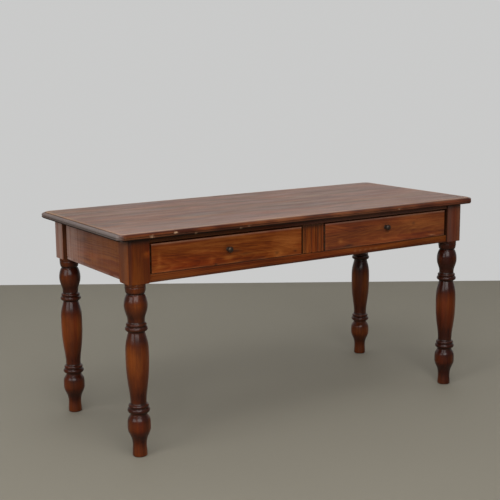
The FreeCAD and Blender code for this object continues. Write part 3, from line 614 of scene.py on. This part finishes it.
def leg_marks(node, points, normals):
    """A lighter vase and darker bulbs and rings; painted shade under the bulbs, on the blocks' inner faces
    and under the top;
    a painted light on the block's left face, painted shade on its rounded corners and a painted sheen on
    its left and front faces.
    """
    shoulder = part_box("end_apron_left")[0].z
    under_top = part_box("front_top_rail")[1].z
    whole, block_tone, left_face_light, left_sheen, front_sheen = LEG_TONES[node]
    height = points[:, Z]
    block = band(height, shoulder - 0.001, shoulder + 0.001)
    faces_left = band(-normals[:, X], 0.86, 0.97)
    # Painted shade on the block's rounded corners, and painted light on its left face.
    arris = block * band(-normals[:, X], 0.1, 0.5) * (1 - faces_left)
    turned = sum(tone * swell(height, middle, half) for middle, half, tone in LEG_BANDS)
    tint = (1 - block) * (whole + turned) + block * (block_tone + left_face_light * faces_left) - 0.3 * arris
    if node == "leg_front_left":
        tint += spots(points, (X, Z), BLOCK_SPOTS) * block
    # Painted shade under the turned parts, on the blocks' inner faces and under the top.
    underside_shade = 0.65 * (1 - block) * band(-normals[:, Z], 0.12, 0.7)
    inner = 0.75 * block * band(-normals[:, X] * np.sign(points[:, X]), 0.6, 0.9)
    if node.startswith("leg_back"):
        inner = np.maximum(inner, 0.8 * block * band(-normals[:, Y], 0.6, 0.9))
    shade = 0.9 * band(height, under_top - 0.022, under_top - 0.004)
    # Painted sheen on the block's left and front faces.
    haze_and_sheen = left_sheen * faces_left + front_sheen * band(-normals[:, Y], 0.6, 0.95)
    return {"tint": tint, "grime_and_shade": np.maximum.reduce([underside_shade, inner, shade]),
            "bloom_and_sheen": haze_and_sheen * block * (0.5 + 0.7 * uneven(points, (60, 60, 3), -0.3, 0.3))}


def outside_block(edge, low, high, shoulder):
    """True for an edge at the surface of a leg block, and not for one deep inside a mortise."""
    middle = (edge.verts[0].co + edge.verts[1].co) / 2
    reach = max(abs(middle.x - (low.x + high.x) / 2), abs(middle.y - (low.y + high.y) / 2))
    return middle.z > shoulder - WELD and reach > (high.x - low.x) / 2 - BLOCK_SKIN


# ---- boards ------------------------------------------------------------------------------------
def board(node, axis, seed, steps, arris=ARRIS, **more):
    """A flat or moulded piece, straight from the CAD node, with softened corners."""
    bm = cad_bmesh(node)
    round_arrises(bm, arris)
    slice_box(bm, steps)
    return finish_piece(bm, node, axis, seed, **more)


TOP_BOARDS = 4
TOP_SEED = 11
TOP_STEPS = (0.013, 0.009, 0)
FLAT_MARGIN = 0.0115                   # width of the moulding round the flat of the top
EDGE_LINE = 0.003                      # the pale line, worn and a painted highlight, lies this far inside the flat
QUIRK_HEIGHT = 0.0098                  # of the dark line in the moulding, above the top's underside
LOWER_EDGE = 0.005                     # below this height the moulding gets the painted shade of the underside
# Darker places in the stain of the top, as rows for spots().
TOP_SPOTS = ((-0.598, 0.190, 0.014, 0.008, -1.1, 0.0), (-0.480, 0.322, 0.150, 0.010, -0.8, 0.0),
             (-0.310, 0.272, 0.080, 0.014, -0.8, 0.0), (-0.470, 0.215, 0.040, 0.008, -0.5, 0.2),
             (0.490, 0.170, 0.030, 0.004, -0.7, 0.3), (0.092, 0.250, 0.070, 0.006, -0.5, 0.0),
             (-0.640, -0.050, 0.050, 0.006, -0.5, 0.1))
# Chips in the front edge: place along the table, height, half length, depth and paleness.
CHIPS = ((-0.664, 0.757, 0.009, 0.0030, 0.80), (-0.576, 0.761, 0.008, 0.0025, 0.90),
         (-0.499, 0.751, 0.006, 0.0020, 0.35), (-0.322, 0.751, 0.008, 0.0025, 0.34),
         (-0.291, 0.757, 0.007, 0.0020, 0.26), (0.384, 0.758, 0.006, 0.0020, 0.45))
CHIP_STEP = 0.002                      # mesh across a chip
CHIP_REACH = 1.5                       # a chip may reach this many half lengths
CHIP_MESH_REACH = 1.2
CHIP_GRAIN = 330                       # cycles per metre of a chip's ragged rim
CHIP_DROP = 0.3                        # how far chipped wood also sinks, for each unit inwards
CHIPPED_DEPTH = 0.02                   # only points this near the front can be chipped


def make_top():
    """The boards of the top, the front one first, with chips broken out of its edge."""
    for i in range(TOP_BOARDS):
        node = f"top_board_{i + 1}"
        bm = cad_bmesh(node)
        round_arrises(bm, TOP_ARRIS)
        slice_box(bm, TOP_STEPS)
        if i == 0:
            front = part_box(node)[0].y
            slice_at(bm, Y, [front + FLAT_MARGIN + EDGE_LINE])
            chip_front_edge(bm, front)
        piece = finish_piece(bm, node, X, TOP_SEED + i, pith=(0.03 - 0.02 * i, 0.11), tilt=0.012,
                             rounds=TOP_RELIEF_SOFTENING, marks=top_marks)
        give_moulding_finish(piece.data)


def give_moulding_finish(mesh):
    """Give the faces outside the flat of the top the finish of the moulding."""
    mesh.materials.append(MATERIALS["top_moulding"])
    centres = np.empty(len(mesh.polygons) * 3)
    mesh.polygons.foreach_get("center", centres)
    outside = beyond_flat(centres[X::3], centres[Y::3]) > WELD
    mesh.polygons.foreach_set("material_index", outside.astype(np.int32))


def beyond_flat(x, y):
    """How far places lie outside the flat of the top, over its moulding."""
    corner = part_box("top_board_4")[1]
    return np.maximum(np.abs(x) - corner.x, np.abs(y) - corner.y) + FLAT_MARGIN


def chip_shape(spot, place, height, length):
    """Distance from the middle of a chip, 1 at its ragged rim."""
    ragged = 0.75 * noise.noise(spot * CHIP_GRAIN)
    return math.hypot((spot.x - place) / length, (spot.z - height) / (0.55 * length)) + ragged


def chip_front_edge(bm, front):
    """Break small chips out of the front edge, with finer mesh around each of them."""
    for place, height, length, depth, _ in CHIPS:
        start = place - CHIP_MESH_REACH * length
        count = int(2 * CHIP_MESH_REACH * length / CHIP_STEP)
        slice_at(bm, X, [start + CHIP_STEP * i for i in range(count + 1)])
        slice_at(bm, Z, [height + CHIP_STEP * i for i in (-1, 0, 1)])
        for vert in bm.verts:
            if abs(vert.co.x - place) < CHIP_REACH * length and vert.co.y < front + CHIPPED_DEPTH:
                push = depth * max(1 - chip_shape(vert.co, place, height, length), 0.0)
                vert.co.y += push
                vert.co.z -= CHIP_DROP * push


def chip_paleness(points, front):
    """How pale the wood is at each point where a chip has bared it."""
    pale_at = np.zeros(len(points))
    for i in np.flatnonzero(points[:, Y] < front + CHIPPED_DEPTH):
        for place, height, length, _, pale in CHIPS:
            if abs(points[i, X] - place) < CHIP_REACH * length:
                inner = 2 - 2 * chip_shape(Vector(points[i]), place, height, length)
                pale_at[i] = max(pale_at[i], pale * min(inner, 1))
    return pale_at


def top_dirt_and_shade(x, z, low, beyond, left_end):
    """Dirt in the lines of the moulding; painted shade below the quirk at the front, and on the lower edge
    and the underside, except further in, where bare wood shows.
    """
    quirk_band = band(z, low.z + QUIRK_HEIGHT - 0.0003, low.z + QUIRK_HEIGHT - 0.0013)
    # Painted shade below the quirk, on the front.
    under_quirk_shade = 0.30 * quirk_band * (1 - left_end) * band(x, 0.1, -0.2)
    quirk_line = swell(z, low.z + QUIRK_HEIGHT, 0.0011) * band(beyond, 0.004, 0.006)
    quirk = (0.85 - 0.4 * band(x, -0.2, 0.2)) * quirk_line
    end_line = 0.7 * left_end * swell(beyond, 0.0022, 0.0016)
    # Painted shade on the lower edge and the underside.
    underside_shade = (0.97 - 0.6 * band(x, -0.1, 0.5)) * band(z, low.z + LOWER_EDGE + 0.0015, low.z + LOWER_EDGE)
    inside = band(beyond, -0.04, -0.06) * underside_shade
    return np.maximum.reduce([under_quirk_shade, quirk, end_line, underside_shade * (1 - inside)]), inside


def top_marks(points, normals):
    """A painted sheen over the flat with a cloudy haze, a painted grey reflection on the left end, a pale
    line round the flat, worn and a painted highlight, chips, and dirt and painted shade below.
    """
    low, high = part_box("top_board_1")[0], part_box("top_board_4")[1]
    x, y, z = points.T
    beyond = beyond_flat(x, y)
    moulding = band(beyond, 0.0, 0.001)
    left_end = band(x, low.x + 0.02, low.x + 0.005)
    patchy = uneven(points, (14, 4, 4), -0.25, 0.25, 3.0)
    # A pale line round the flat: worn wood and a painted highlight along the edge.
    worn_highlight_line = swell(beyond, -EDGE_LINE, 0.005) * band(z, high.z - 0.0015, high.z - 0.0005)
    dirt_and_shade, inside = top_dirt_and_shade(x, z, low, beyond, left_end)
    worn = np.maximum(0.60 * worn_highlight_line * (0.6 + 0.4 * patchy), chip_paleness(points, low.y))
    # Painted grey reflection on the left end of the moulding, over a darker stain there.
    moulding_tone = 0.6 * patchy - 0.45 - 0.7 * left_end + 0.16 * band(x, -0.1, 0.4)
    moulding_sheen = 0.02 * band(x, -0.35, 0.0) + 0.38 * left_end * (1 - dirt_and_shade)
    # Painted sheen over the flat, growing to the right and to the front, with a cloudy haze.
    cloudy = uneven(points, (1.5, 9, 0), -0.35, 0.35, 9.0)
    front = band(y, -0.12, -0.30) * band(x, 0.6, 0.3)
    flat_haze_and_sheen = 0.012 + 0.03 * cloudy + 0.17 * band(x, -0.1, 0.7) + 0.18 * front
    return {"tint": spots(points, (X, Y), TOP_SPOTS) + moulding * moulding_tone,
            "grime_and_shade": dirt_and_shade,
            "bare_and_highlight": worn + 0.5 * inside,
            "bloom_and_sheen": np.where(moulding > 0.5, moulding_sheen, flat_haze_and_sheen),
            "dull": 0.5 * moulding * (1 - left_end)}


# Darker and lighter places in the stain of the left end apron, as rows for spots().
APRON_SPOTS = ((0.080, 0.697, 0.020, 0.010, -0.6, 0.0), (0.002, 0.634, 0.030, 0.012, 0.8, 0.0))


def end_apron_marks(points, normals):
    """A painted sheen that grows towards the back, with fine upright streaks, a paler line along the bead,
    and painted shade under the top.
    """
    low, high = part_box("end_apron_left")
    y, z = points[:, Y], points[:, Z]
    # Painted sheen growing towards the back.
    back_sheen = 0.04 + 0.08 * band(y, -0.20, 0.05) + 0.52 * band(y, 0.05, 0.235)
    streaky = 0.7 + 0.6 * uneven(points, (0, 90, 4), -0.3, 0.3, 5.0)
    bead = swell(z, low.z + 0.005, 0.004) * uneven(points, (0, 25, 0), -0.4, 0.1)
    # Painted shade under the top.
    under_top = 0.9 * band(z, high.z - 0.018, high.z - 0.004) * (1 - 0.7 * band(y, 0.04, 0.14))
    return {"tint": 0.32 + spots(points, (Y, Z), APRON_SPOTS),
            "grime_and_shade": under_top,
            "bloom_and_sheen": back_sheen * streaky + 0.3 * bead}


# A row of small pale dots along the bottom rail.
RAIL_DOTS = tuple((0.200 + 0.025 * i, 0.611, 0.005, 0.002, 0.5, 0.0) for i in range(5))


def bottom_rail_marks(points, normals):
    """Darker along both edges: towards the bottom edge, and a painted shade of the drawers' gap along the
    top edge.
    """
    low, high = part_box("front_bottom_rail")
    z = points[:, Z]
    lower = 0.6 * band(z, low.z + 0.010, low.z + 0.003)
    # Painted shade of the gap under the drawers.
    drawer_gap_shade = 0.6 * band(z, high.z - 0.0025, high.z - 0.0005)
    return {"tint": -0.12,
            "grime_and_shade": np.maximum(lower, drawer_gap_shade),
            "bare_and_highlight": spots(points, (X, Z), RAIL_DOTS)}


def top_rail_marks(points, normals):
    """Painted shade under the top's overhang, lifted by some painted light towards the right."""
    return {"grime_and_shade": 0.65, "bloom_and_sheen": 0.075 * band(points[:, X], -0.15, 0.08)}


def stile_marks(points, normals):
    """Painted shade on the sides and under the top, and dirt in the grooves."""
    low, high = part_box("centre_stile")
    side_shade = 0.7 * band(np.abs(normals[:, X]), 0.8, 0.95)
    shade = 0.9 * band(points[:, Z], high.z - 0.028, high.z - 0.012)
    grooves = 0.35 * band(points[:, Y], low.y + 0.0012, low.y + 0.0028)
    return {"tint": 0.1, "grime_and_shade": np.maximum.reduce([side_shade, shade, grooves])}


FRAME_SEED = 41
# Boards of the frame: node, axis of the grain, mesh steps, place of the log's middle, arris and marks.
FRAME_BOARDS = (
    ("end_apron_left", Y, (0, 0.008, 0.008), (0.03, 0.08), ARRIS, end_apron_marks),
    ("end_apron_right", Y, (0, 0.012, 0.010), (0.03, 0.08), ARRIS, None),
    ("back_apron", X, (0.015, 0, 0.010), (0.07, 0.02), ARRIS, None),
    ("front_bottom_rail", X, (0.008, 0.010, 0.004), (0.05, 0.03), ARRIS, bottom_rail_marks),
    ("front_top_rail", X, (0.012, 0.010, 0.006), (0.05, 0.03), ARRIS, top_rail_marks),
    ("centre_stile", Z, (0.004, 0, 0.006), (0.02, 0.06), THIN_ARRIS, stile_marks),
)
SLIDEWAY_SEED = 51
SLIDEWAYS = ("runner_left", "runner_centre", "runner_right", "kicker_left", "kicker_centre",
             "kicker_right", "guide_left", "guide_centre", "guide_right")
BLOCKS_SEED = 61


def make_frame():
    """Legs, aprons, rails and stile, and the plain pieces inside the frame."""
    for i, node in enumerate(LEG_NODES):
        leg(node, LEG_SEED + i)
    for i, (node, axis, steps, pith, arris, marks) in enumerate(FRAME_BOARDS):
        board(node, axis, FRAME_SEED + i, steps, arris, pith=pith, marks=marks)
    for i, node in enumerate(SLIDEWAYS):
        board(node, Y, SLIDEWAY_SEED + i, (0.02, 0.02, 0), pith=(0.02, 0.07))
    board("glue_blocks", X, BLOCKS_SEED, (0.01, 0.01, 0.01))
    board("drawer_stops", X, BLOCKS_SEED + 1, (0.01, 0.01, 0))


# Stain, dirt and rubbed places of the drawer fronts, as rows for spots().
FRONT_TONES = {
    "left": ((-0.560, 0.675, 0.055, 0.018, -0.35, 0.0), (-0.622, 0.672, 0.007, 0.024, 0.6, 0.0),
             (-0.469, 0.650, 0.040, 0.012, -0.2, 0.0), (-0.420, 0.645, 0.016, 0.015, 0.8, 0.0),
             (-0.353, 0.646, 0.016, 0.010, 0.8, 0.0), (-0.189, 0.680, 0.020, 0.013, -0.4, 0.0),
             (-0.153, 0.642, 0.020, 0.013, 0.6, 0.0), (-0.090, 0.675, 0.035, 0.040, 0.3, 0.0)),
    "right": ((0.131, 0.706, 0.060, 0.004, 0.7, -0.22), (0.120, 0.695, 0.050, 0.003, 0.5, -0.20),
              (0.131, 0.654, 0.010, 0.008, 1.0, 0.0), (0.451, 0.703, 0.012, 0.004, 0.6, 0.2),
              (0.520, 0.690, 0.060, 0.030, 0.3, 0.0), (0.180, 0.680, 0.110, 0.060, -0.35, 0.0)),
}
FRONT_DIRT = {
    # In the left row, the second spot, to the right of the left knob, is a painted shadow of the knob.
    "left": ((-0.356, 0.677, 0.020, 0.015, 0.45, 0.0), (-0.325, 0.669, 0.020, 0.006, 0.6, 0.0),
             (-0.405, 0.629, 0.005, 0.004, 1.0, 0.0), (-0.285, 0.654, 0.024, 0.004, 0.5, 0.05),
             (-0.153, 0.642, 0.007, 0.005, 0.6, 0.0), (-0.073, 0.640, 0.006, 0.005, 0.7, 0.0)),
    "right": ((0.347, 0.688, 0.018, 0.014, 0.40, 0.0), (0.170, 0.634, 0.020, 0.005, 0.8, 0.1),
              (0.487, 0.689, 0.007, 0.005, 0.6, 0.0), (0.583, 0.629, 0.016, 0.002, 0.6, 0.0),
              (0.650, 0.632, 0.016, 0.018, 0.5, 0.0)),
}
FRONT_RUBS = {"left": (), "right": ((0.583, 0.634, 0.014, 0.002, 0.45, 0.0),)}
# Painted sheen over each drawer front.
FRONT_SHEEN = {"left": 0.0, "right": 0.03}


def drawer_front_marks(side, points, normals):
    """Spots of stain and dirt, painted shade on the ends, rubbed edges, a painted sheen on the right front
    and a painted highlight on the upper arris.
    """
    low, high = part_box(side + "_drawer_front")
    z = points[:, Z]
    faces_out = band(-normals[:, Y], 0.2, 0.6)
    edges = swell(z, high.z - 0.002, 0.0022) + 0.6 * swell(z, low.z + 0.002, 0.0020)
    rubbed = 0.30 * edges * uneven(points, (20, 0, 0), -0.5, 0.2, 7.0)
    # Painted highlight along the upper arris.
    upper_arris_highlight = swell(z, high.z - 0.001, 0.003) * faces_out
    # Painted shade on the ends, which show in the gaps.
    end_shade = 0.7 * band(np.abs(normals[:, X]), 0.75, 0.95)
    return {"tint": spots(points, (X, Z), FRONT_TONES[side]),
            "grime_and_shade": np.maximum(end_shade, spots(points, (X, Z), FRONT_DIRT[side]) * faces_out),
            "bare_and_highlight": (rubbed + spots(points, (X, Z), FRONT_RUBS[side])) * faces_out,
            "bloom_and_sheen": FRONT_SHEEN[side] + 0.2 * upper_arris_highlight}


def drawer_side_marks(points, normals):
    """Painted shade on the part of a drawer's sides that shows in the gaps beside its front."""
    start = points[:, Y].min()
    return {"grime_and_shade": 0.92 * band(points[:, Y], start + 0.070, start + 0.035)}


def make_drawer(side, seed, lean):
    """The wooden pieces of a drawer; lean is the slope of the grain on its front."""
    name = side + "_drawer_"
    board(name + "front", X, seed, (0.005, 0, 0.004), DRAWER_ARRIS, pith=(0.075, 0.012), tilt=lean,
          marks=lambda points, normals: drawer_front_marks(side, points, normals))
    for i, part in enumerate(("left_side", "right_side")):
        board(name + part, Y, seed + 1 + i, (0, 0.015, 0.010), DRAWER_ARRIS, pith=(0.03, 0.07),
              marks=drawer_side_marks)
    board(name + "back", X, seed + 3, (0.015, 0, 0.010), DRAWER_ARRIS, pith=(0.07, 0.03))
    board(name + "bottom", Y, seed + 4, (0.02, 0.02, 0), THIN_ARRIS, pith=(0.10, 0.03))


def dress_hardware():
    """Knobs, nuts, washers, nails and screws keep their CAD shape and get a metal finish."""
    for node, slot in SLOT_OF.items():
        if slot in METALS:
            piece = frame["nodes"][node]
            piece.data.materials.clear()
            piece.data.materials.append(MATERIALS[slot])


# ---- stage -------------------------------------------------------------------------------------
FLOOR_TINT = (0.235, 0.214, 0.167)
FLOOR_VARIATION = 0.08
WALL_TINT = (0.74, 0.74, 0.73)
WALL_VARIATION = 0.02
BACKDROP = (0.590, 0.592, 0.588)       # what the camera sees behind the floor
SKY_TINT = (0.95, 0.97, 1.0)
SKY_STRENGTH = 0.24
WALL_DISTANCE = 5.98                   # from the camera; the floor ends there too
WALL_HALF_WIDTH = 7.0
WALL_HEIGHT = 4.5
FLOOR_REACH = 30.0                     # behind the camera and to both sides
TABLE_MIDDLE = (0, 0, 0.5)
# Lamps: name, place, target, size and watts.
LAMPS = (
    ("lamp_left", (-1.5, -0.8, 3.2), (-0.2, -0.1, 0.5), (0.9, 1.9), 20),
    ("lamp_front", (-0.4, -1.7, 3.2), TABLE_MIDDLE, (0.9, 1.9), 20),
    ("key", (-2.4, -4.6, 3.0), (0, 0, 0.4), (4.0, 3.0), 165),
    ("fill_left", (-5.0, -1.2, 2.2), TABLE_MIDDLE, (3.0, 2.4), 70),
)
WALL_LAMP_DISTANCE = 4.3               # from the camera, along the floor
WALL_LAMP_HEIGHT = 3.6
WALL_LAMP_AIM = 1.2                    # height of its target on the wall
WALL_LAMP_SIZE = (6.0, 0.6)
WALL_LAMP_WATTS = 32


def level_axes():
    """The camera's level directions: away from it, and to its right."""
    cos_yaw, sin_yaw = math.cos(CAMERA_YAW), math.sin(CAMERA_YAW)
    return Vector((sin_yaw, cos_yaw, 0.0)), Vector((cos_yaw, -sin_yaw, 0.0))


def make_camera():
    """The camera, at the photograph's viewing angle."""
    away, right = level_axes()
    ahead = away * math.cos(CAMERA_PITCH) + Vector((0.0, 0.0, math.sin(CAMERA_PITCH)))
    up = right.cross(ahead)
    cos_roll, sin_roll = math.cos(CAMERA_ROLL), math.sin(CAMERA_ROLL)
    right, up = cos_roll * right + sin_roll * up, cos_roll * up - sin_roll * right
    camera = bpy.data.objects.new("camera", bpy.data.cameras.new("camera"))
    bpy.context.scene.collection.objects.link(camera)
    turn = Matrix((right, up, -ahead)).transposed().to_4x4()
    camera.matrix_world = Matrix.Translation(CAMERA_PLACE) @ turn
    camera.data.sensor_width = SENSOR_WIDTH
    camera.data.lens = CAMERA_LENS
    bpy.context.scene.camera = camera


def quad(name, corners, material, seen=True):
    """Flat surface of the stage; an unseen one still lights the table."""
    mesh = bpy.data.meshes.new(name)
    mesh.from_pydata(corners, [], [range(len(corners))])
    mesh.materials.append(material)
    piece = bpy.data.objects.new(name, mesh)
    bpy.context.scene.collection.objects.link(piece)
    piece.visible_camera = seen


def area_light(name, place, target, size, strength):
    """Soft rectangular light that the camera doesn't see; strength is in watts."""
    light = bpy.data.lights.new(name, "AREA")
    light.shape = "RECTANGLE"
    light.size, light.size_y = size
    light.energy = strength
    piece = bpy.data.objects.new(name, light)
    bpy.context.scene.collection.objects.link(piece)
    piece.location = place
    piece.rotation_euler = (Vector(target) - Vector(place)).to_track_quat("-Z", "Y").to_euler()
    piece.visible_camera = False


def studio_world(light, strength, backdrop):
    """Soft light from all round; the camera sees the plain colour of the backdrop instead of it."""
    world = bpy.data.worlds.new("studio")
    world.use_nodes = True
    nodes, links = world.node_tree.nodes, world.node_tree.links
    shine = nodes["Background"]
    shine.inputs["Color"].default_value = colour(light)
    shine.inputs["Strength"].default_value = strength
    seen = nodes.new("ShaderNodeBackground")
    seen.inputs["Color"].default_value = colour(backdrop)
    choice = nodes.new("ShaderNodeMixShader")
    links.new(nodes.new("ShaderNodeLightPath").outputs["Is Camera Ray"], choice.inputs[0])
    links.new(shine.outputs[0], choice.inputs[1])
    links.new(seen.outputs[0], choice.inputs[2])
    links.new(choice.outputs[0], nodes["World Output"].inputs["Surface"])
    bpy.context.scene.world = world


def make_stage():
    """Floor, wall, lamps and world."""
    away, side = level_axes()
    foot = Vector((CAMERA_PLACE.x, CAMERA_PLACE.y, 0.0))
    far = foot + away * WALL_DISTANCE
    near = foot - away * FLOOR_REACH
    half = side * FLOOR_REACH
    quad("floor", [near - half, near + half, far + half, far - half],
         plain_stage("floor", FLOOR_TINT, FLOOR_VARIATION))
    half = side * WALL_HALF_WIDTH
    top = Vector((0, 0, WALL_HEIGHT))
    quad("wall", [far - half, far + half, far + half + top, far - half + top],
         plain_stage("wall", WALL_TINT, WALL_VARIATION), seen=False)
    for lamp in LAMPS:
        area_light(*lamp)
    area_light("wall_wash", foot + away * WALL_LAMP_DISTANCE + Vector((0, 0, WALL_LAMP_HEIGHT)),
               far + Vector((0, 0, WALL_LAMP_AIM)), WALL_LAMP_SIZE, WALL_LAMP_WATTS)
    studio_world(SKY_TINT, SKY_STRENGTH, BACKDROP)
    bpy.context.scene.view_settings.view_transform = "Standard"


make_camera()
make_stage()
make_top()
make_frame()
make_drawer("left", seed=70, lean=(0.050, 0.010))
make_drawer("right", seed=80, lean=(-0.040, 0.012))
dress_hardware()
